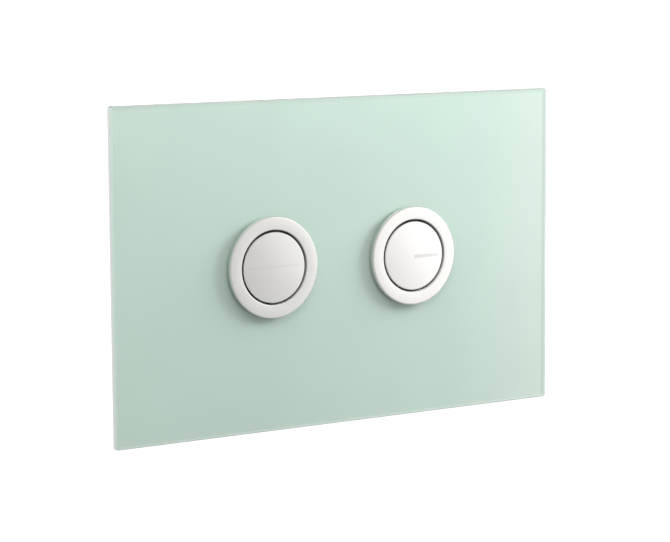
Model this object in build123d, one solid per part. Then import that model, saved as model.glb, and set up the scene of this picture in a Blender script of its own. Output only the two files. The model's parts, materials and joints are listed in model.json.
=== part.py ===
from build123d import *
import math
import os

# Flush button plate: a back-painted glass plate with two round push buttons.
# A moulded carrier holds the glass and clips onto a frame that is fixed to the wall.
# Millimetres. X runs to the right and Z up, and the front faces -Y.
# The origin is the centre of the mounting frame's rear face, so the wall is the plane y = 0.

# Glass plate
plate_width = 235.0
plate_height = 150.0
glass_thickness = 4.0
glass_corner = 1.0
glass_arris = 0.5

# Buttons
button_spacing = 76.0
button_travel = 6.0

# Button cap
cap_diameter = 32.1
cap_dome = 0.12
cap_flat_radius = 1.0
cap_wall = 1.5
cap_edge_radius = 0.4
cap_setback = 0.2
cap_rib_height = 3.0
cap_rib_wall = 1.2
cap_rib_inset = 2.0
bead_depth = 0.5
bead_width = 1.2
cap_lip = 0.7

# Bezel
bezel_gap = 0.95
bezel_rim = 6.0
bezel_height = 2.3
bezel_crown = 0.02
bezel_edge_radius = 0.6
bezel_lip_radius = 0.4
barrel_wall = 1.8
barrel_length = 20.0

# Bezel gasket
gasket_thickness = 0.5
gasket_sleeve = 0.8
gasket_inset = 1.5
gasket_end_gap = 0.2

# Clamp nut
clamp_nut_height = 5.0
clamp_nut_wall = 3.0
clamp_lug_height = 2.0
clamp_lug_width = 7.0
clamp_lugs = 8
clamp_chamfer = 0.6

# Guide housing
housing_gap = 0.3
housing_wall = 2.4
housing_floor = 2.5
guide_wall = 2.4
guide_tail = 6.5
guide_clearance = 0.5
grip_ribs = 16
grip_rib_width = 1.6
grip_rib_height = 0.8
vents = 4
vent_span = 52.0
vent_margin = 1.4
web_thickness = 1.6
web_height = 4.5

# Return spring
spring_wire = 1.1
spring_turns = 4.5
spring_clearance = 0.25
spring_end_gap = 0.05

# Plunger
head_thickness = 2.5
spigot_height = 1.5
spigot_step = 0.8
stem_diameter = 10.0
stem_tail = 7.0
stem_chamfer = 0.5
groove_depth = 0.8

# Retaining ring
ring_thickness = 1.0
ring_width = 1.8
ring_reach = 3.0
ring_prong = 3.2
ring_mouth = 8.0
ring_prong_angles = (-20, 90, 200)
ring_gap = 0.3

# Push rod and lock nut
rod_diameter = 6.0
rod_engagement = 12.0
rod_spare_bore = 2.0
rod_reach = 44.0
rod_tip_diameter = 10.0
rod_tip_length = 5.0
rod_chamfer = 0.6
lock_nut_flats = 10.0
lock_nut_height = 5.0

# Bonding tape
tape_thickness = 0.8
tape_width = 10.0
tape_inset = 1.5

# Carrier
carrier_inset = 12.0
carrier_corner = 6.0
carrier_thickness = 2.5
skirt_wall = 2.0
skirt_gap = 0.8
pad_width = 6.0
carrier_rib_wall = 1.6
carrier_rib_air = 0.5
carrier_rib_gap = 4.0
hook_spacing = 116.0
hook_width = 12.0
hook_thickness = 1.6
hook_nose = 1.4
hook_nose_length = 1.4
hook_nose_flat = 0.5
hook_tip_chamfer = 0.5
hook_gap = 0.6
core_margin = 1.5

# Mounting frame
frame_clearance = 1.0
frame_rail = 11.0
frame_thickness = 2.5
frame_wall = 2.0
frame_corner = 5.0
window_corner = 4.0
inner_rim_height = 6.5
rail_ribs = 7
stile_ribs = 3
frame_rib_wall = 1.6
frame_rib_height = 6.0
catch_clearance = 0.5
catch_gap = 0.3

# Fixing ears, rods and thumb nuts
fixing_inset = 9.0
ear_margin = 8.5
ear_width = 34.0
ear_corner = 4.0
ear_setback = 1.5
ear_slot_length = 13.0
ear_slot_clearance = 0.3
gusset_wall = 1.6
fixing_thread_diameter = 6.0
fixing_shaft_diameter = 8.0
fixing_collar_diameter = 12.0
fixing_collar = 2.0
fixing_length = 42.0
fixing_chamfer = 1.0
thumb_nut_diameter = 16.0
thumb_nut_height = 4.5
thumb_nut_scallops = 10
scallop_radius = 1.5
thumb_nut_chamfer = 0.5
thread_end = 0.5
carrier_air = 0.7

# Clearances shared by several pieces
fit_clearance = 0.1
hole_clearance = 0.5

# Radii worked out from the cap outwards
cap_radius = cap_diameter / 2
cap_bore = cap_radius - cap_wall
opening_radius = cap_radius + bezel_gap
bezel_radius = opening_radius + bezel_rim
barrel_radius = opening_radius + barrel_wall
threaded_bore = barrel_radius + fit_clearance
sleeve_radius = threaded_bore + gasket_sleeve
glass_hole = sleeve_radius + fit_clearance
carrier_hole = barrel_radius + hole_clearance
clamp_nut_radius = threaded_bore + clamp_nut_wall
clamp_lug_radius = clamp_nut_radius + clamp_lug_height
housing_radius = threaded_bore + housing_wall

# Radii worked out from the plunger's stem outwards
stem_radius = stem_diameter / 2
guide_bore = stem_radius + fit_clearance
guide_radius = guide_bore + guide_wall
spigot_radius = guide_radius + spigot_step
spring_radius = spigot_radius + spring_clearance + spring_wire / 2
spring_outer = spring_radius + spring_wire / 2
head_radius = cap_bore - fit_clearance
groove_radius = stem_radius - groove_depth
rod_radius = rod_diameter / 2
rod_bore = rod_radius + fit_clearance

# Depths from the wall forward to the glass
ear_rear = -ear_setback
ear_front = ear_rear - frame_thickness
thumb_nut_front = ear_front - thumb_nut_height
fixing_front = thumb_nut_front - thread_end
carrier_rear = fixing_front - carrier_air
carrier_front = carrier_rear - carrier_thickness
glass_back = carrier_front - tape_thickness
glass_front = glass_back - glass_thickness

# Depths of the button from the glass backwards
bezel_seat = glass_front - gasket_thickness
bezel_front = bezel_seat - bezel_height
barrel_rear = bezel_seat + barrel_length
cap_edge = bezel_front + cap_setback
cap_front = cap_edge - cap_dome
cap_ceiling = cap_edge + cap_wall
head_front = cap_ceiling + cap_rib_height
head_rear = head_front + head_thickness
bead_front = head_rear + fit_clearance
bead_rear = bead_front + bead_width
cap_rear = bead_rear + cap_lip
spigot_rear = head_rear + spigot_height
clamp_nut_rear = carrier_rear + clamp_nut_height
housing_front = clamp_nut_rear + housing_gap
floor_rear = barrel_rear + housing_floor
guide_front = spigot_rear + button_travel + guide_clearance
guide_rear = floor_rear + guide_tail
ring_front = guide_rear + ring_gap
ring_rear = ring_front + ring_thickness
groove_front = ring_front - fit_clearance
groove_rear = ring_rear + fit_clearance
stem_rear = groove_rear + stem_tail
rod_front = stem_rear - rod_engagement
bore_bottom = rod_front - rod_spare_bore
lock_nut_rear = stem_rear + lock_nut_height
rod_rear = stem_rear + rod_reach
tip_front = rod_rear - rod_tip_length

# Outlines of the carrier and the frame
carrier_width = plate_width - 2 * carrier_inset
carrier_height = plate_height - 2 * carrier_inset
frame_inset = skirt_wall + frame_clearance
frame_width = carrier_width - 2 * frame_inset
frame_height = carrier_height - 2 * frame_inset
window_width = frame_width - 2 * frame_rail
window_height = frame_height - 2 * frame_rail
rim_width = window_width + 2 * frame_wall
rim_height = window_height + 2 * frame_wall
fixing_x = window_width / 2 - fixing_inset
ear_end = fixing_x - ear_margin
hook_face = window_height / 2 - hook_gap
hook_tip = -frame_thickness - fit_clearance
nose_front = hook_tip - hook_nose_length
catch_front = nose_front - catch_gap

button_x = {"left": -button_spacing / 2, "right": button_spacing / 2}


def turned(*corners):
    """Solid of revolution about the Y axis from corners given as (radius, y)."""
    return revolve(make_face(Polyline(*corners, close=True)), Axis.Y)


def slab(outline, rear, front):
    """An outline drawn in X and Z, filled from y = rear forward to y = front."""
    return extrude(Plane.XZ.offset(-rear) * outline, rear - front)


def upright(profile, bottom, height):
    """A profile drawn in X and Y, raised along Z."""
    return extrude(Plane.XY.offset(bottom) * profile, height)


def ring(outer, inner):
    """Flat ring between two radii."""
    return Circle(outer) - Circle(inner)


def glass_plate():
    outline = RectangleRounded(plate_width, plate_height, glass_corner)
    outline -= [Pos(x, 0) * Circle(glass_hole) for x in button_x.values()]
    plate = slab(outline, glass_back, glass_front)
    return chamfer(plate.faces().filter_by(Axis.Y).edges(), glass_arris)


def bonding_tape(side):
    length = carrier_width - 2 * (tape_inset + carrier_corner)
    height = side * (carrier_height / 2 - tape_inset - tape_width / 2)
    return slab(Pos(0, height) * Rectangle(length, tape_width), carrier_front, glass_back)


def carrier_ribs():
    """Ribs past both buttons and a collar round each, open where the thumb nuts stand."""
    across = frame_width - 2 * (frame_wall + carrier_rib_gap)
    up = frame_height - 2 * (frame_wall + carrier_rib_gap)
    collar_bore = clamp_lug_radius + carrier_rib_gap / 2
    beside = collar_bore + carrier_rib_wall
    outermost = button_spacing / 2 + beside
    ribs = Sketch() + [Pos(x, 0) * Rectangle(carrier_rib_wall, up) for x in (-outermost, 0, outermost)]
    ribs += [Pos(0, z) * Rectangle(across, carrier_rib_wall) for z in (-beside, beside)]
    ribs -= [Pos(x, 0) * Circle(collar_bore) for x in button_x.values()]
    ribs += [Pos(x, 0) * ring(beside, collar_bore) for x in button_x.values()]
    nut_room = Circle(thumb_nut_diameter / 2 + carrier_rib_gap)
    return ribs - [Pos(x, 0) * nut_room for x in (-fixing_x, fixing_x)]


def clip_hook():
    """Cantilever hook at the top of the carrier, its nose pointing up into the frame's catch."""
    profile = Polyline(
        (carrier_rear - fit_clearance, hook_face - hook_thickness),
        (carrier_rear - fit_clearance, hook_face),
        (nose_front, hook_face),
        (nose_front, hook_face + hook_nose),
        (nose_front + hook_nose_flat, hook_face + hook_nose),
        (hook_tip, hook_face),
        (hook_tip, hook_face - hook_thickness),
        close=True,
    )
    leg = extrude(Plane.YZ * make_face(profile), hook_width / 2, both=True)
    inner_tip = leg.edges().filter_by(Axis.X).sort_by(Axis.Z)[:2].sort_by(Axis.Y)[-1]
    return chamfer(inner_tip, hook_tip_chamfer)


def carrier():
    outline = RectangleRounded(carrier_width, carrier_height, carrier_corner)
    inside = RectangleRounded(
        carrier_width - 2 * skirt_wall, carrier_height - 2 * skirt_wall, carrier_corner - skirt_wall
    )
    body = slab(outline, carrier_rear, carrier_front)
    body += slab(outline - inside, -skirt_gap, carrier_front)

    body += slab(carrier_ribs(), -inner_rim_height - carrier_rib_air, carrier_rear)
    for x in button_x.values():
        body += slab(Pos(x, 0) * Circle(carrier_hole + pad_width), carrier_front, glass_back)
        body -= slab(Pos(x, 0) * Circle(carrier_hole), carrier_rear, glass_back)

    core_height = hook_nose + core_margin
    core = Pos(0, hook_face + core_height / 2) * Rectangle(hook_width, core_height)
    for x in (-hook_spacing / 2, hook_spacing / 2):
        for turn in (0, 180):
            spin = Rot(0, turn, 0)
            body += spin * Pos(x, 0, 0) * clip_hook()
            body -= spin * Pos(x, 0, 0) * slab(core, carrier_rear, carrier_front)
    return body


def mounting_frame():
    outer = RectangleRounded(frame_width, frame_height, frame_corner)
    outer_rim = outer - RectangleRounded(
        frame_width - 2 * frame_wall, frame_height - 2 * frame_wall, frame_corner - frame_wall
    )
    window = RectangleRounded(window_width, window_height, window_corner)
    rim = RectangleRounded(rim_width, rim_height, window_corner + frame_wall)
    body = slab(outer - window, 0, -frame_thickness)
    body += slab(outer_rim, 0, carrier_rear)
    body += slab(rim - window, 0, -inner_rim_height)

    rail_depth = frame_rail - frame_wall
    rail_middle = (window_height + frame_rail) / 2
    stile_middle = (window_width + frame_rail) / 2
    ribs = Sketch()
    for z in (-rail_middle, rail_middle):
        for i in range(rail_ribs):
            x = window_width * ((i + 0.5) / rail_ribs - 0.5)
            ribs += Pos(x, z) * Rectangle(frame_rib_wall, rail_depth)
    for x in (-stile_middle, stile_middle):
        for i in range(stile_ribs):
            z = window_height * ((i + 0.5) / stile_ribs - 0.5)
            ribs += Pos(x, z) * Rectangle(rail_depth, frame_rib_wall)
    body += slab(ribs, 0, -frame_rib_height)

    for turn in (0, 180):
        body += Rot(0, turn, 0) * fixing_ear()
        for x in (-hook_spacing / 2, hook_spacing / 2):
            body -= Rot(0, turn, 0) * catch(x)
    return body


def catch(x):
    """Opening through the upper rim that a hook's nose springs into."""
    width = hook_width + 2 * catch_clearance
    middle = (window_height + frame_wall) / 2
    opening = Pos(x, middle) * Rectangle(width, 2 * frame_wall)
    return slab(opening, -frame_thickness, catch_front)


def fixing_ear():
    """Slotted ear inside the right of the window, stiffened by two gussets against the rim."""
    root = (window_width + frame_wall) / 2
    length = root - ear_end
    plate = Pos(ear_end + length / 2, 0) * RectangleRounded(length, ear_width, ear_corner)
    plate += Pos(root - ear_corner / 2, 0) * Rectangle(ear_corner, ear_width)
    slot_width = fixing_thread_diameter + 2 * ear_slot_clearance
    plate -= Pos(fixing_x, 0) * SlotOverall(ear_slot_length, slot_width, rotation=90)
    ear = slab(plate, ear_rear, ear_front)

    gusset = make_face(
        Polyline(
            (ear_end + ear_corner, ear_front),
            (root, ear_front),
            (root, -inner_rim_height),
            (root - frame_wall, -inner_rim_height),
            close=True,
        )
    )
    for bottom in (-ear_width / 2, ear_width / 2 - gusset_wall):
        ear += upright(gusset, bottom, gusset_wall)
    return ear


def fixing_rod():
    thread_radius = fixing_thread_diameter / 2
    shaft_radius = fixing_shaft_diameter / 2
    collar_radius = fixing_collar_diameter / 2
    collar_rear = ear_rear + fixing_collar
    return turned(
        (0, fixing_front),
        (thread_radius - thread_end, fixing_front),
        (thread_radius, fixing_front + thread_end),
        (thread_radius, ear_rear),
        (collar_radius, ear_rear),
        (collar_radius, collar_rear),
        (shaft_radius, collar_rear),
        (shaft_radius, fixing_length - fixing_chamfer),
        (shaft_radius - fixing_chamfer, fixing_length),
        (0, fixing_length),
    )


def fixing_nut():
    radius = thumb_nut_diameter / 2
    outline = ring(radius, fixing_thread_diameter / 2 + fit_clearance)
    nut = slab(outline, ear_front, thumb_nut_front)
    rims = nut.edges().filter_by(GeomType.CIRCLE).group_by(SortBy.RADIUS)[-1]
    nut = chamfer(rims, thumb_nut_chamfer)
    scallop = Circle(scallop_radius)
    scallops = Sketch() + [place * scallop for place in PolarLocations(radius, thumb_nut_scallops)]
    return nut - slab(scallops, ear_front, thumb_nut_front)


def bezel():
    rim_edge = bezel_front + bezel_crown
    crest_radius = (opening_radius + bezel_radius) / 2
    crown = ThreePointArc((opening_radius, rim_edge), (crest_radius, bezel_front), (bezel_radius, rim_edge))
    barrel = Polyline(
        (bezel_radius, rim_edge),
        (bezel_radius, bezel_seat),
        (barrel_radius, bezel_seat),
        (barrel_radius, barrel_rear),
        (opening_radius, barrel_rear),
        (opening_radius, rim_edge),
    )
    profile = make_face([crown, barrel])
    outer_edge = profile.vertices().sort_by(Axis.X)[-2:].sort_by(Axis.Y)[0]
    profile = fillet(outer_edge, bezel_edge_radius)
    lip = profile.vertices().sort_by(Axis.X)[:2].sort_by(Axis.Y)[0]
    return revolve(fillet(lip, bezel_lip_radius), Axis.Y)


def bezel_gasket():
    flange_radius = bezel_radius - gasket_inset
    sleeve_rear = glass_back - gasket_end_gap
    return turned(
        (threaded_bore, bezel_seat),
        (flange_radius, bezel_seat),
        (flange_radius, glass_front),
        (sleeve_radius, glass_front),
        (sleeve_radius, sleeve_rear),
        (threaded_bore, sleeve_rear),
    )


def clamp_nut():
    outline = Circle(clamp_nut_radius)
    lug = Rectangle(2 * clamp_lug_height, clamp_lug_width)
    outline += [place * lug for place in PolarLocations(clamp_nut_radius, clamp_lugs)]
    nut = slab(outline & Circle(clamp_lug_radius), clamp_nut_rear, carrier_rear)
    nut = chamfer(nut.faces().sort_by(Axis.Y)[-1].edges(), clamp_chamfer)
    return nut - slab(Circle(threaded_bore), clamp_nut_rear, carrier_rear)


def guide_housing():
    body = turned(
        (threaded_bore, housing_front),
        (housing_radius, housing_front),
        (housing_radius, floor_rear),
        (guide_radius, floor_rear),
        (guide_radius, guide_rear),
        (guide_bore, guide_rear),
        (guide_bore, guide_front),
        (guide_radius, guide_front),
        (guide_radius, barrel_rear),
        (threaded_bore, barrel_rear),
    )
    grip = Rectangle(2 * grip_rib_height, grip_rib_width)
    grips = Sketch() + [place * grip for place in PolarLocations(housing_radius, grip_ribs)]
    body += slab(grips, floor_rear, housing_front)

    web = make_face(
        Polyline(
            (guide_bore + fit_clearance, floor_rear),
            (opening_radius, floor_rear),
            (guide_radius, floor_rear + web_height),
            (guide_bore + fit_clearance, floor_rear + web_height),
            close=True,
        )
    )
    vent_inner = spring_outer + vent_margin
    vent_outer = opening_radius - vent_margin
    vent_arc = CenterArc((0, 0), (vent_inner + vent_outer) / 2, -vent_span / 2, vent_span)
    vent = SlotArc(vent_arc, vent_outer - vent_inner)
    step = 360 / vents
    for i in range(vents):
        body += Rot(0, (i + 0.5) * step, 0) * upright(web, -web_thickness / 2, web_thickness)
    openings = Sketch() + [Rot(0, 0, i * step) * vent for i in range(vents)]
    return body - slab(openings, floor_rear, barrel_rear)


def return_spring():
    wire_radius = spring_wire / 2
    first = head_rear + spring_end_gap + wire_radius
    last = barrel_rear - spring_end_gap - wire_radius
    height = last - first
    path = Helix(height / spring_turns, height, spring_radius, (0, first, 0), (0, 1, 0))
    section = Plane(path @ 0, z_dir=path % 0) * Circle(wire_radius)
    return sweep(section, path, is_frenet=True)


def button_cap():
    flat = Line((0, cap_front), (cap_flat_radius, cap_front))
    dome = TangentArc((cap_flat_radius, cap_front), (cap_radius, cap_edge), tangent=(1, 0))
    shell = Polyline(
        (cap_radius, cap_edge),
        (cap_radius, cap_rear),
        (cap_bore, cap_rear),
        (cap_bore, cap_ceiling),
        (0, cap_ceiling),
        (0, cap_front),
    )
    profile = make_face([flat, dome, shell])
    outer_edge = profile.vertices().sort_by(Axis.X)[-2:].sort_by(Axis.Y)[0]
    body = revolve(fillet(outer_edge, cap_edge_radius), Axis.Y)

    rib_radius = cap_bore - cap_rib_inset
    body += slab(ring(rib_radius, rib_radius - cap_rib_wall), head_front, cap_ceiling)
    body += turned(
        (cap_bore, bead_front),
        (cap_bore - bead_depth, bead_front + bead_width / 3),
        (cap_bore - bead_depth, bead_front + bead_width / 2),
        (cap_bore, bead_rear),
        (cap_bore + fit_clearance, bead_rear),
        (cap_bore + fit_clearance, bead_front),
    )
    return body


def plunger():
    return turned(
        (0, head_front),
        (head_radius, head_front),
        (head_radius, head_rear),
        (spigot_radius, head_rear),
        (spigot_radius, spigot_rear),
        (stem_radius, spigot_rear),
        (stem_radius, groove_front),
        (groove_radius, groove_front),
        (groove_radius, groove_rear),
        (stem_radius, groove_rear),
        (stem_radius, stem_rear - stem_chamfer),
        (stem_radius - stem_chamfer, stem_rear),
        (rod_bore, stem_rear),
        (rod_bore, bore_bottom),
        (0, bore_bottom),
    )


def retaining_ring():
    """Open spring clip with three prongs that reach into the stem's groove."""
    outer = stem_radius + ring_reach
    seat = groove_radius + fit_clearance
    outline = ring(outer, outer - ring_width)
    prong_length = outer - ring_width / 2 - seat
    prong = Pos(seat + prong_length / 2, 0) * Rectangle(prong_length, ring_prong)
    mouth = Pos(0, -outer) * Rectangle(ring_mouth, outer)
    outline -= mouth
    outline += [Rot(0, 0, angle) * prong for angle in ring_prong_angles]
    return slab(outline - Circle(seat), ring_rear, ring_front)


def push_rod():
    tip_radius = rod_tip_diameter / 2
    return turned(
        (0, rod_front),
        (rod_radius - rod_chamfer, rod_front),
        (rod_radius, rod_front + rod_chamfer),
        (rod_radius, tip_front),
        (tip_radius, tip_front),
        (tip_radius, rod_rear - rod_chamfer),
        (tip_radius - rod_chamfer, rod_rear),
        (0, rod_rear),
    )


def rod_lock_nut():
    flat_radius = lock_nut_flats / 2
    corner_radius = flat_radius / math.cos(math.pi / 6)
    corner_drop = (corner_radius - flat_radius) / 2
    hexagon = RegularPolygon(flat_radius, 6, major_radius=False) - Circle(rod_bore)
    turned_blank = turned(
        (0, stem_rear),
        (flat_radius, stem_rear),
        (corner_radius, stem_rear + corner_drop),
        (corner_radius, lock_nut_rear - corner_drop),
        (flat_radius, lock_nut_rear),
        (0, lock_nut_rear),
    )
    return slab(hexagon, lock_nut_rear, stem_rear) & turned_blank


pieces = {
    "glass_plate": glass_plate(),
    "upper_bonding_tape": bonding_tape(1),
    "lower_bonding_tape": bonding_tape(-1),
    "carrier": carrier(),
    "mounting_frame": mounting_frame(),
}

fixing_pieces = {"fixing_rod": fixing_rod(), "fixing_nut": fixing_nut()}

button_pieces = {
    "bezel": bezel(),
    "bezel_gasket": bezel_gasket(),
    "clamp_nut": clamp_nut(),
    "guide_housing": guide_housing(),
    "return_spring": return_spring(),
    "button_cap": button_cap(),
    "plunger": plunger(),
    "retaining_ring": retaining_ring(),
    "push_rod": push_rod(),
    "rod_lock_nut": rod_lock_nut(),
}

for side, x in button_x.items():
    for name, shape in button_pieces.items():
        pieces[f"{side}_{name}"] = Pos(x, 0, 0) * shape
    for name, shape in fixing_pieces.items():
        pieces[f"{side}_{name}"] = Pos(math.copysign(fixing_x, x), 0, 0) * shape

os.makedirs("parts", exist_ok=True)
for name, shape in pieces.items():
    export_step(shape, f"parts/{name}.step")
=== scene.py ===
import json
import math

import bpy
from mathutils import Matrix, Vector


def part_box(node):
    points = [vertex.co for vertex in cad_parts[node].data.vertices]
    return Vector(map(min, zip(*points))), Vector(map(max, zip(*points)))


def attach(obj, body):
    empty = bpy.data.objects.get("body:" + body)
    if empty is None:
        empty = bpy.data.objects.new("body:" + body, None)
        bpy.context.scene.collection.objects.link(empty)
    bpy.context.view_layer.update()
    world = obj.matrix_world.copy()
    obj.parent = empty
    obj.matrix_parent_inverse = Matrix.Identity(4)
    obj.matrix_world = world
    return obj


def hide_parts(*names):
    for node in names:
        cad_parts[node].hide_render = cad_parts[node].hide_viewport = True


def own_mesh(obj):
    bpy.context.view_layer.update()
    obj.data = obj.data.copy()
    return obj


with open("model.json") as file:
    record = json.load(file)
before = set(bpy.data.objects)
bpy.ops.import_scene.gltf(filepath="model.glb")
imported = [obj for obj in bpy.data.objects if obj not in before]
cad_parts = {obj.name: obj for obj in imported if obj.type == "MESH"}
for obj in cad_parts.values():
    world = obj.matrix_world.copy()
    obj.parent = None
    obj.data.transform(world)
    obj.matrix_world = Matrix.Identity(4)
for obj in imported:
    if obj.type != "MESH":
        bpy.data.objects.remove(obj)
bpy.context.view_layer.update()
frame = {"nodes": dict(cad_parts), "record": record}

# Looks of the flush button plate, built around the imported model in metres
MM = 0.001
SIDES = ("left", "right")
NODES = frame["nodes"]

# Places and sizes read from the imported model
PLATE_LOW, PLATE_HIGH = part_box("glass_plate")
CAP_LOW, CAP_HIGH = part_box("right_button_cap")
BUTTON_X = {side: sum(corner.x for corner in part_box(f"{side}_bezel")) / 2 for side in SIDES}
FIXING_X = {side: sum(corner.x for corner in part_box(f"{side}_fixing_rod")) / 2 for side in SIDES}
CAP_GAP = 0.95 * MM
BORE_RADIUS = (CAP_HIGH.x - CAP_LOW.x) / 2 + CAP_GAP

# Camera fitted to the photograph
PHOTO_WIDTH = 670
FOCAL_PIXELS = 2417.8
SENSOR_WIDTH = 36.0
TARGET = Vector((-4.1, -17.0, -4.35)) * MM
DISTANCE = 1105.2 * MM
AZIMUTH = math.radians(-32.711)
ELEVATION = math.radians(7.281)
ROLL = math.radians(-0.391)
CLIP_START, CLIP_END = 0.01, 500.0

# Floor, low enough for views from below
FLOOR_LEVEL = -1.5
FLOOR_HALF = 200.0
FLOOR_SHADES = (0.90, 0.90, 0.90, 1.0), (0.92, 0.92, 0.92, 1.0)
FLOOR_GLOW = 0.60

# Surroundings: a sky that brightens toward one side, with one wide glow
WHITE = (1.0, 1.0, 1.0, 1.0)
GLOW_AZIMUTH = math.radians(54.7)
GLOW_ELEVATION = math.radians(8.5)
GLOW_CORE = math.radians(23.2)
GLOW_RIM = math.radians(29.7)
GLOW_STRENGTH = 0.682
SKY_AZIMUTH = math.radians(96.4)
SKY_ELEVATION = math.radians(55.3)
SKY_DIM = 0.458
SKY_BRIGHT = 0.653

# Lamps aimed at the origin: place in metres, diameter in metres and power in watts
FRONT_LAMPS = {
    "top_lamp": (Vector((-0.051, -0.120, 0.380)), 0.5, 2.22),
    "side_lamp": (Vector((0.703, -0.217, 0.284)), 0.4, 12.16),
    "fill_lamp": (Vector((-0.600, 0.150, 0.000)), 0.5, 0.4),
}
REAR_LAMPS = {"rear_lamp": (Vector((0.350, 1.100, 0.700)), 1.2, 5.0)}
FRONT_NODES = ("glass_plate", "left_bezel", "right_bezel", "left_button_cap", "right_button_cap")


def direction(azimuth, elevation):
    """Unit vector from the object; azimuth 0 points out of its front, and more turns to the right."""
    flat = math.cos(elevation)
    return Vector((math.sin(azimuth) * flat, -math.cos(azimuth) * flat, math.sin(elevation)))


class Graph:
    """Short way to write the nodes of a material or of the world."""

    def __init__(self, owner):
        owner.use_nodes = True
        self.tree = owner.node_tree

    def add(self, kind, *links, **values):
        """A node of that kind; links feed its sockets in order, values set sockets or properties."""
        made = self.tree.nodes.new(kind)
        for name, value in values.items():
            if name in made.inputs.keys():
                self.feed(made.inputs[name], value)
            else:
                setattr(made, name, value)
        for socket, value in zip(made.inputs, links):
            self.feed(socket, value)
        return made

    def feed(self, socket, value):
        """Gives a socket a value or a link."""
        if isinstance(value, bpy.types.NodeSocket):
            self.tree.links.new(value, socket)
        else:
            socket.default_value = value

    def math(self, operation, *values):
        """Result of one arithmetic step."""
        return self.add("ShaderNodeMath", *values, operation=operation).outputs[0]

    def length(self, first, second):
        """Length of a vector with these two parts."""
        squares = [self.math("MULTIPLY", part, part) for part in (first, second)]
        return self.math("SQRT", self.math("ADD", *squares))

    def ramp(self, value, low, high, to_low=0.0, to_high=1.0, smooth=False):
        """value mapped from one range to another and held at its ends."""
        kind = "SMOOTHSTEP" if smooth else "LINEAR"
        return self.add(
            "ShaderNodeMapRange", value, low, high, to_low, to_high, interpolation_type=kind
        ).outputs[0]

    def mix(self, share, first, second):
        """Colour between two others."""
        made = self.add("ShaderNodeMix", data_type="RGBA")
        for index, value in ((0, share), (6, first), (7, second)):
            self.feed(made.inputs[index], value)
        return made.outputs[2]

    def noise(self, point, scale, detail=2.0):
        """Soft random field with about that many cells to the metre."""
        return self.add("ShaderNodeTexNoise", Vector=point, Scale=scale, Detail=detail).outputs[0]

    def lines(self, along, scale):
        """Random lines across one coordinate, about that many to the metre."""
        return self.add(
            "ShaderNodeTexNoise", noise_dimensions="1D", W=along, Scale=scale, Detail=3.0
        ).outputs[0]

    def spread(self, field, low=0.0, high=1.0, half=0.2):
        """A random field's middle part, 0.5 give or take half, stretched over a range."""
        return self.ramp(field, 0.5 - half, 0.5 + half, low, high)

    def bump(self, height, distance, strength):
        """Normal bent by a height field that spans this distance in metres."""
        return self.add("ShaderNodeBump", Height=height, Distance=distance, Strength=strength).outputs[0]

    def place(self):
        """Position on the piece, in metres."""
        return self.add("ShaderNodeTexCoord").outputs["Object"]

    def axes(self, point):
        """The three parts of a position."""
        return self.add("ShaderNodeSeparateXYZ", point).outputs

    def facing(self, toward, azimuth, elevation):
        """Cosine of the angle between a view into the world and a direction."""
        made = self.add(
            "ShaderNodeVectorMath", toward, direction(azimuth, elevation), operation="DOT_PRODUCT"
        )
        return made.outputs["Value"]


def shader(name, **sockets):
    """A new material with its graph and its shader, whose sockets take these values."""
    material = bpy.data.materials.new(name)
    graph = Graph(material)
    principled = graph.tree.nodes["Principled BSDF"]
    for socket, value in sockets.items():
        principled.inputs[socket.replace("_", " ")].default_value = value
    return material, graph, principled.inputs


def scaled(colour, factor):
    """A colour times a factor, opaque and no brighter than white."""
    return tuple(min(part * factor, 1.0) for part in colour) + (1.0,)


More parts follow.
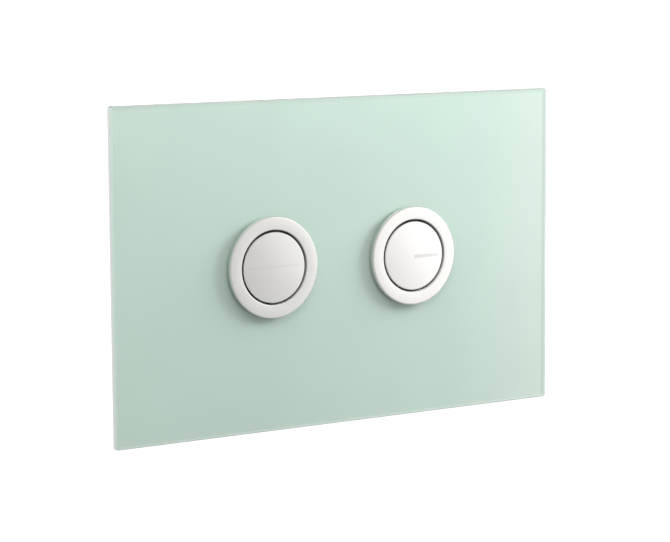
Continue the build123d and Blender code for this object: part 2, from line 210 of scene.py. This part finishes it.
def painted_glass():
    """Clear plate with mint paint on its back: a clear coat over the paint, with painted light at both ends
    and edges lighter or darker by painted light and shade.
    """
    paint = (0.383, 0.493, 0.433, 1.0)
    # Painted light: the paint turns lighter toward the plate's left and right ends
    left_end_painted_light = (0.399, 0.512, 0.447, 1.0)
    right_end_painted_light = (0.420, 0.509, 0.454, 1.0)
    rear_paint = (0.430, 0.525, 0.472, 1.0)
    # Painted light and shade at the edges, standing for light seen through the glass's thickness: a shade
    # line and a lighter strip by the right edge, lit bottom and left arrises, a shaded top, and lit or
    # shaded cut faces
    line = (0.350, 0.432, 0.383, 1.0)
    low_strip_painted_light = (0.434, 0.527, 0.470, 1.0)
    high_strip_painted_light = (0.396, 0.468, 0.423, 1.0)
    top_band_painted_shade = (0.370, 0.458, 0.404, 1.0)
    bottom_band_painted_light = (0.520, 0.606, 0.552, 1.0)
    left_arris_painted_light = (0.700, 0.870, 0.770, 1.0)
    bottom_arris_painted_light = (0.700, 0.825, 0.750, 1.0)
    top_arris_painted_shade = (0.225, 0.263, 0.238, 1.0)
    front_cut_painted_light = (0.800, 0.940, 0.860, 1.0)
    rear_cut_painted_light = (0.950, 0.980, 0.960, 1.0)
    right_cut_painted_shade = (0.270, 0.330, 0.300, 1.0)
    top_cut_painted_shade = (0.230, 0.248, 0.236, 1.0)
    side_reach = 60.0 * MM
    strip_reach = 20.0 * MM
    shade_line_place = 2.0 * MM
    # Distances from an edge in millimetres, then shares of the plate's thickness
    arris_fade = 0.45, 0.55
    cut_fade = 0.02, 0.1
    cut_change = 0.35, 0.55
    rear_start = 0.96, 0.99
    # Scale of a soft random field and the range that it gives
    cloud_scale, cloud_low, cloud_high = 30.0, 0.985, 1.015
    gloss_scale, gloss_low, gloss_high = 400.0, 0.42, 0.5

    material, graph, surface = shader(
        "painted_glass", Coat_Roughness=0.03, Coat_IOR=1.52, Specular_IOR_Level=0.2
    )
    point = graph.place()
    x, y, z = graph.axes(point)
    depth = graph.ramp(y, PLATE_LOW.y, PLATE_HIGH.y)
    rear = graph.ramp(depth, *rear_start)
    from_left = graph.math("SUBTRACT", x, PLATE_LOW.x)
    from_right = graph.math("SUBTRACT", PLATE_HIGH.x, x)
    from_top = graph.math("SUBTRACT", PLATE_HIGH.z, z)
    from_bottom = graph.math("SUBTRACT", z, PLATE_LOW.z)
    from_side = graph.math("MINIMUM", graph.math("MINIMUM", from_left, from_right), from_bottom)
    from_edge = graph.math("MINIMUM", from_side, from_top)
    # Distance from a painted shade line near the right edge
    from_shade_line = graph.math("ABSOLUTE", graph.math("SUBTRACT", from_right, shade_line_place))

    # Painted light toward the left and right ends of the plate
    colour = graph.mix(graph.ramp(from_left, 0.0, side_reach, smooth=True), left_end_painted_light, paint)
    colour = graph.mix(graph.ramp(from_right, 0.0, side_reach, smooth=True), right_end_painted_light, colour)
    # Painted light on the right edge's strip and on the cut faces
    painted_strip = graph.mix(graph.ramp(z, -strip_reach, strip_reach), low_strip_painted_light, high_strip_painted_light)
    cut = graph.mix(graph.ramp(depth, *cut_change), front_cut_painted_light, rear_cut_painted_light)
    # The bands are painted light and shade; each covers those before it, and fades out between two distances
    # in millimetres
    for distance, (near, far), band in (
        (from_shade_line, (0.3, 1.4), line),
        (from_right, (1.2, 1.6), painted_strip),
        (from_top, (0.8, 2.2), top_band_painted_shade),
        (from_bottom, (0.4, 1.6), bottom_band_painted_light),
        (from_left, arris_fade, left_arris_painted_light),
        (from_bottom, arris_fade, bottom_arris_painted_light),
        (from_side, cut_fade, cut),
        (from_right, cut_fade, right_cut_painted_shade),
        (from_top, arris_fade, top_arris_painted_shade),
        (from_top, cut_fade, top_cut_painted_shade),
    ):
        colour = graph.mix(graph.ramp(distance, near * MM, far * MM), band, colour)
    colour = graph.mix(rear, colour, rear_paint)
    cloud = graph.spread(graph.noise(point, cloud_scale), cloud_low, cloud_high)
    tinted = graph.add("ShaderNodeVectorMath", colour, operation="SCALE", Scale=cloud).outputs[0]
    graph.feed(surface["Base Color"], tinted)
    clear = graph.ramp(from_edge, *(limit * MM for limit in cut_fade))
    graph.feed(surface["Coat Weight"], graph.math("MULTIPLY", clear, graph.math("SUBTRACT", 1.0, rear)))
    graph.feed(surface["Roughness"], graph.spread(graph.noise(point, gloss_scale), gloss_low, gloss_high))
    return material


def chrome_trim(name, centre_x, painted_shade=1.0, bore=None, mark=None):
    """Satin chrome with very fine turning marks round the button's axis.

    tone dims it as painted shade, bore is the brightness of a ring's matt bore, whose different greys in
    the two rings are painted light and shade, and mark is a faint line across a cap, given as its middle
    and half its length along X, its height, its half width and its colour.
    """
    darker, lighter = (0.952, 0.942, 0.912), (0.985, 0.974, 0.942)
    turning_scale, turning_depth, turning_strength = 9000.0, 0.004 * MM, 0.5
    cloud_scale = 120.0
    smoothest, roughest, cloud_roughness, bore_roughness = 0.11, 0.15, 0.02, 0.5
    ink_core, ink_rim = 0.67, 1.33
    bore_end, polish_start = BORE_RADIUS + 0.03 * MM, BORE_RADIUS + 0.12 * MM

    material, graph, surface = shader(name, Metallic=1.0)
    point = graph.place()
    x, _, z = graph.axes(point)
    across = graph.math("SUBTRACT", x, centre_x)
    radius = graph.length(across, z)
    turning = graph.lines(radius, turning_scale)
    cloud = graph.noise(point, cloud_scale)
    colour = graph.mix(cloud, scaled(darker, painted_shade), scaled(lighter, painted_shade))
    roughness = graph.math(
        "ADD", graph.spread(turning, smoothest, roughest), graph.spread(cloud, 0.0, cloud_roughness)
    )
    if mark:
        middle, half_length, height, half_width, ink = mark
        from_middle = graph.math("ABSOLUTE", graph.math("SUBTRACT", across, middle))
        past_end = graph.math("MAXIMUM", graph.math("SUBTRACT", from_middle, half_length), 0.0)
        away = graph.length(past_end, graph.math("SUBTRACT", z, height))
        bare = graph.ramp(away, ink_core * half_width, ink_rim * half_width)
        colour = graph.mix(bare, ink, colour)
    if bore:
        polished = graph.ramp(radius, bore_end, polish_start)
        colour = graph.mix(polished, (bore, bore, bore, 1.0), colour)
        roughness = graph.ramp(polished, 0.0, 1.0, bore_roughness, roughness)
        graph.feed(surface["Metallic"], polished)
    graph.feed(surface["Base Color"], colour)
    graph.feed(surface["Roughness"], roughness)
    graph.feed(surface["Normal"], graph.bump(turning, turning_depth, turning_strength))
    return material


def moulded(name, colour, roughness, grain, relief):
    """Moulded plastic or rubber: fine surface grain, faint flow clouds and slightly uneven gloss."""
    cloud_scale, cloud_detail = 60.0, 4.0
    dark, light = 0.93, 1.05
    uneven = 0.06
    grain_strength = 0.6

    material, graph, surface = shader(name)
    point = graph.place()
    cloud = graph.noise(point, cloud_scale, cloud_detail)
    specks = graph.noise(point, grain)
    tint = graph.mix(graph.spread(cloud), scaled(colour, dark), scaled(colour, light))
    graph.feed(surface["Base Color"], tint)
    graph.feed(surface["Roughness"], graph.spread(specks, roughness - uneven, roughness + uneven, half=0.25))
    graph.feed(surface["Normal"], graph.bump(specks, relief, grain_strength))
    return material


def turned_metal(name, colour, roughness):
    """Turned or drawn metal: fine lines across Y, the pieces' own axis."""
    line_scale, line_depth, line_strength = 6000.0, 0.01 * MM, 0.5
    cloud_scale = 250.0
    dark = 0.86
    uneven = 0.07

    material, graph, surface = shader(name, Metallic=1.0)
    point = graph.place()
    _, y, _ = graph.axes(point)
    lines = graph.lines(y, line_scale)
    cloud = graph.noise(point, cloud_scale)
    tint = graph.mix(graph.spread(cloud, half=0.15), scaled(colour, dark), scaled(colour, 1.0))
    graph.feed(surface["Base Color"], tint)
    graph.feed(surface["Roughness"], graph.spread(lines, roughness - uneven, roughness + uneven))
    graph.feed(surface["Normal"], graph.bump(lines, line_depth, line_strength))
    return material


# Materials; a faint darker line crosses the middle of the left cap, and a plain dash marks the right one
GLASS = painted_glass()
HAIRLINE = (0.0, 13.0 * MM, 0.3 * MM, 0.6 * MM, (0.886, 0.875, 0.845, 1.0))
DASH = (6.7 * MM, 6.0 * MM, -0.4 * MM, 0.75 * MM, (0.789, 0.766, 0.750, 1.0))
RING_CHROME = {
    # A matt bore in each ring, with different greys that are painted light and shade
    "left": chrome_trim("left_ring_chrome", BUTTON_X["left"], bore=0.375),
    "right": chrome_trim("right_ring_chrome", BUTTON_X["right"], bore=0.45),
}
CAP_CHROME = {
    # Painted shade: the left cap's chrome is dimmed
    "left": chrome_trim("left_cap_chrome", BUTTON_X["left"], painted_shade=0.945, mark=HAIRLINE),
    "right": chrome_trim("right_cap_chrome", BUTTON_X["right"], mark=DASH),
}
SHARED = {
    "seal_rubber": moulded("seal_rubber", (0.035, 0.035, 0.036), 0.62, 2500.0, 0.02 * MM),
    "dark_plastic": moulded("dark_plastic", (0.075, 0.076, 0.080), 0.50, 1800.0, 0.02 * MM),
    "grey_plastic": moulded("grey_plastic", (0.36, 0.375, 0.39), 0.48, 1800.0, 0.02 * MM),
    "white_plastic": moulded("white_plastic", (0.82, 0.82, 0.80), 0.46, 1600.0, 0.02 * MM),
    "white_acetal": moulded("white_acetal", (0.84, 0.83, 0.79), 0.30, 2200.0, 0.008 * MM),
    "foam_tape": moulded("foam_tape", (0.09, 0.09, 0.09), 0.80, 3500.0, 0.06 * MM),
    "spring_steel": turned_metal("spring_steel", (0.62, 0.62, 0.63), 0.30),
    "rod_steel": turned_metal("rod_steel", (0.70, 0.70, 0.71), 0.28),
    "brass": turned_metal("brass", (0.74, 0.55, 0.26), 0.30),
}


def dress_nodes():
    """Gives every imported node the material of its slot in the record."""
    for part in frame["record"]["subparts"]:
        name = part["node"]
        side = name.split("_")[0]
        if part["material_slot"] == "painted_glass":
            material = GLASS
        elif part["material_slot"] == "chrome_trim":
            material = CAP_CHROME[side] if name.endswith("cap") else RING_CHROME[side]
        else:
            material = SHARED[part["material_slot"]]
        NODES[name].data.materials.clear()
        NODES[name].data.materials.append(material)


def new_piece(name, points, faces, body, node, slot, sharp=30.0):
    """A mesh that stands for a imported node, rides on its body and takes its slot's material."""
    mesh = bpy.data.meshes.new(name)
    mesh.from_pydata(points, [], faces)
    mesh.shade_smooth()
    mesh.set_sharp_from_angle(angle=math.radians(sharp))
    mesh.materials.append(SHARED[slot])
    piece = bpy.data.objects.new(name, mesh)
    bpy.context.scene.collection.objects.link(piece)
    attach(piece, body)
    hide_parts(node)
    return piece


def grid_faces(rows, columns):
    """Quads of a tube of closed rings, with a cap on the first and on the last ring."""
    faces = []
    for row in range(rows - 1):
        for column in range(columns):
            after = (column + 1) % columns
            low, high = row * columns, (row + 1) * columns
            faces.append((low + column, low + after, high + after, high + column))
    faces.append(tuple(reversed(range(columns))))
    faces.append(tuple(range((rows - 1) * columns, rows * columns)))
    return faces


def coil_spring(side):
    """Return spring as a round wire."""
    wire = 0.55 * MM
    turns = 4.5
    steps = 180
    around = 14
    along = Vector((0.0, 1.0, 0.0))
    low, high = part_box(f"{side}_return_spring")
    radius = (high.z - low.z) / 2 - wire
    start, end = low.y + wire, high.y - wire
    points = []
    for step in range(steps + 1):
        angle = 2 * math.pi * turns * step / steps
        outward = Vector((math.cos(angle), 0.0, -math.sin(angle)))
        centre = Vector((BUTTON_X[side], start + (end - start) * step / steps, 0.0)) + radius * outward
        for part in range(around):
            turn = 2 * math.pi * part / around
            points.append(centre + wire * (math.cos(turn) * outward + math.sin(turn) * along))
    piece = new_piece(
        f"{side}_coil_spring", points, grid_faces(steps + 1, around), "plate_assembly",
        f"{side}_return_spring", "spring_steel",
    )
    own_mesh(piece)


def thread_rod(name, centre_x, corners, threads, body, node, slot):
    """A turned rod along Y from corners (y, radius), with rounded threads cut into some stretches.

    threads gives the pitch and the depth for a stretch's two ends.
    """
    columns = 40
    rows_per_turn = 8
    points = []
    rows = 0
    for (y0, r0), (y1, r1) in zip(corners, corners[1:]):
        pitch, depth = threads.get((y0, y1), (None, None))
        count = int(rows_per_turn * (y1 - y0) / pitch) + 1 if pitch else 2
        for row in range(count):
            share = row / (count - 1)
            y = y0 + (y1 - y0) * share
            for column in range(columns):
                angle = 2 * math.pi * column / columns
                radius = r0 + (r1 - r0) * share
                if pitch:
                    fade = min(1.0, (y - y0) / pitch, (y1 - y) / pitch)
                    wave = 0.5 - 0.5 * math.cos(2 * math.pi * (y - y0) / pitch - angle)
                    radius -= depth * fade * wave
                points.append((centre_x + radius * math.cos(angle), y, -radius * math.sin(angle)))
        rows += count
    return new_piece(name, points, grid_faces(rows, columns), body, node, slot, sharp=40.0)


def fixing_rod(side):
    """Fixing rod with its thread for the thumb nut in front and a coarse thread behind the collar."""
    low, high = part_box(f"{side}_fixing_rod")
    neck, collar, shaft = 3.0 * MM, 6.0 * MM, 4.0 * MM
    collar_front, collar_rear = -1.5 * MM, 0.5 * MM
    front_edge, rear_edge = 0.5 * MM, 1.0 * MM
    fine_thread = 1.0 * MM, 0.4 * MM
    coarse_thread = 2.0 * MM, 0.7 * MM
    fine_start, coarse_end = low.y + front_edge, high.y - rear_edge
    corners = [
        (low.y, neck - front_edge), (fine_start, neck), (collar_front, neck), (collar_front, collar),
        (collar_rear, collar), (collar_rear, shaft), (coarse_end, shaft), (high.y, shaft - rear_edge),
    ]
    threads = {(fine_start, collar_front): fine_thread, (collar_rear, coarse_end): coarse_thread}
    thread_rod(
        f"{side}_threaded_fixing_rod", FIXING_X[side], corners, threads,
        "plate_assembly", f"{side}_fixing_rod", "grey_plastic",
    )


def push_rod(side):
    """Push rod, threaded from its front end up to the tip."""
    low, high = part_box(f"{side}_push_rod")
    rod, tip = 3.0 * MM, 5.0 * MM
    edge = 0.6 * MM
    tip_length = 5.0 * MM
    thread = 1.0 * MM, 0.45 * MM
    start, shoulder = low.y + edge, high.y - tip_length
    corners = [
        (low.y, rod - edge), (start, rod), (shoulder, rod), (shoulder, tip),
        (high.y - edge, tip), (high.y, tip - edge),
    ]
    thread_rod(
        f"{side}_threaded_push_rod", BUTTON_X[side], corners, {(start, shoulder): thread},
        f"{side}_button", f"{side}_push_rod", "rod_steel",
    )


def studio_floor():
    """Plain pale floor, seen by the camera but neither mirrored in the object nor lighting it."""
    cloud_scale = 1.5
    half = FLOOR_HALF
    corners = [(-half, -half), (half, -half), (half, half), (-half, half)]
    mesh = bpy.data.meshes.new("floor")
    mesh.from_pydata([(x, y, FLOOR_LEVEL) for x, y in corners], [], [(0, 1, 2, 3)])
    material, graph, surface = shader(
        "floor", Roughness=0.9, Emission_Color=WHITE, Emission_Strength=FLOOR_GLOW
    )
    cloud = graph.noise(graph.place(), cloud_scale)
    graph.feed(surface["Base Color"], graph.mix(cloud, *FLOOR_SHADES))
    mesh.materials.append(material)
    made = bpy.data.objects.new("floor", mesh)
    made.visible_glossy = False
    made.visible_diffuse = False
    bpy.context.scene.collection.objects.link(made)


def surroundings():
    """Soft bright surroundings with one wide glow at the plate's right, white where the camera sees them."""
    world = bpy.data.worlds.new("studio")
    bpy.context.scene.world = world
    graph = Graph(world)
    background = graph.tree.nodes["Background"].inputs
    toward = graph.add("ShaderNodeTexCoord").outputs["Generated"]
    off_glow = graph.math("ARCCOSINE", graph.facing(toward, GLOW_AZIMUTH, GLOW_ELEVATION))
    glow = graph.ramp(off_glow, GLOW_CORE, GLOW_RIM, GLOW_STRENGTH, 0.0)
    sky = graph.ramp(graph.facing(toward, SKY_AZIMUTH, SKY_ELEVATION), -1.0, 1.0, SKY_DIM, SKY_BRIGHT)
    seen = graph.add("ShaderNodeLightPath").outputs["Is Camera Ray"]
    graph.feed(background["Strength"], graph.math("MAXIMUM", graph.math("ADD", glow, sky), seen))
    background["Color"].default_value = WHITE


def lamp(name, place, size, power, lit=None):
    """Round soft lamp, unseen by the camera and in reflections; it lights the pieces in lit, or all."""
    data = bpy.data.lights.new(name, "AREA")
    data.shape = "DISK"
    data.size = size
    data.energy = power
    made = bpy.data.objects.new(name, data)
    made.location = place
    made.rotation_euler = place.to_track_quat("Z", "Y").to_euler()
    made.visible_camera = False
    made.visible_glossy = False
    if lit:
        made.light_linking.receiver_collection = lit
    bpy.context.scene.collection.objects.link(made)


def studio_lamps():
    """Lamps above the plate and at its sides, which light the front pieces only, and one behind it."""
    front = bpy.data.collections.new("front_pieces")
    for node in FRONT_NODES:
        front.objects.link(NODES[node])
    for name, values in FRONT_LAMPS.items():
        lamp(name, *values, lit=front)
    for name, values in REAR_LAMPS.items():
        lamp(name, *values)


def camera():
    """Camera at the photograph's viewing angle."""
    data = bpy.data.cameras.new("camera")
    data.sensor_fit = "HORIZONTAL"
    data.sensor_width = SENSOR_WIDTH
    data.lens = FOCAL_PIXELS / PHOTO_WIDTH * SENSOR_WIDTH
    data.clip_start = CLIP_START
    data.clip_end = CLIP_END
    made = bpy.data.objects.new("camera", data)
    back = direction(AZIMUTH, ELEVATION)
    right = Vector((math.cos(AZIMUTH), math.sin(AZIMUTH), 0.0))
    up = back.cross(right)
    turned_right = math.cos(ROLL) * right + math.sin(ROLL) * up
    turned_up = math.cos(ROLL) * up - math.sin(ROLL) * right
    frame_axes = Matrix((turned_right, turned_up, back)).transposed()
    made.matrix_world = Matrix.Translation(TARGET + DISTANCE * back) @ frame_axes.to_4x4()
    bpy.context.scene.collection.objects.link(made)
    bpy.context.scene.camera = made


dress_nodes()
for side in SIDES:
    coil_spring(side)
    fixing_rod(side)
    push_rod(side)
studio_floor()
surroundings()
studio_lamps()
camera()
bpy.context.scene.view_settings.view_transform = "Standard"
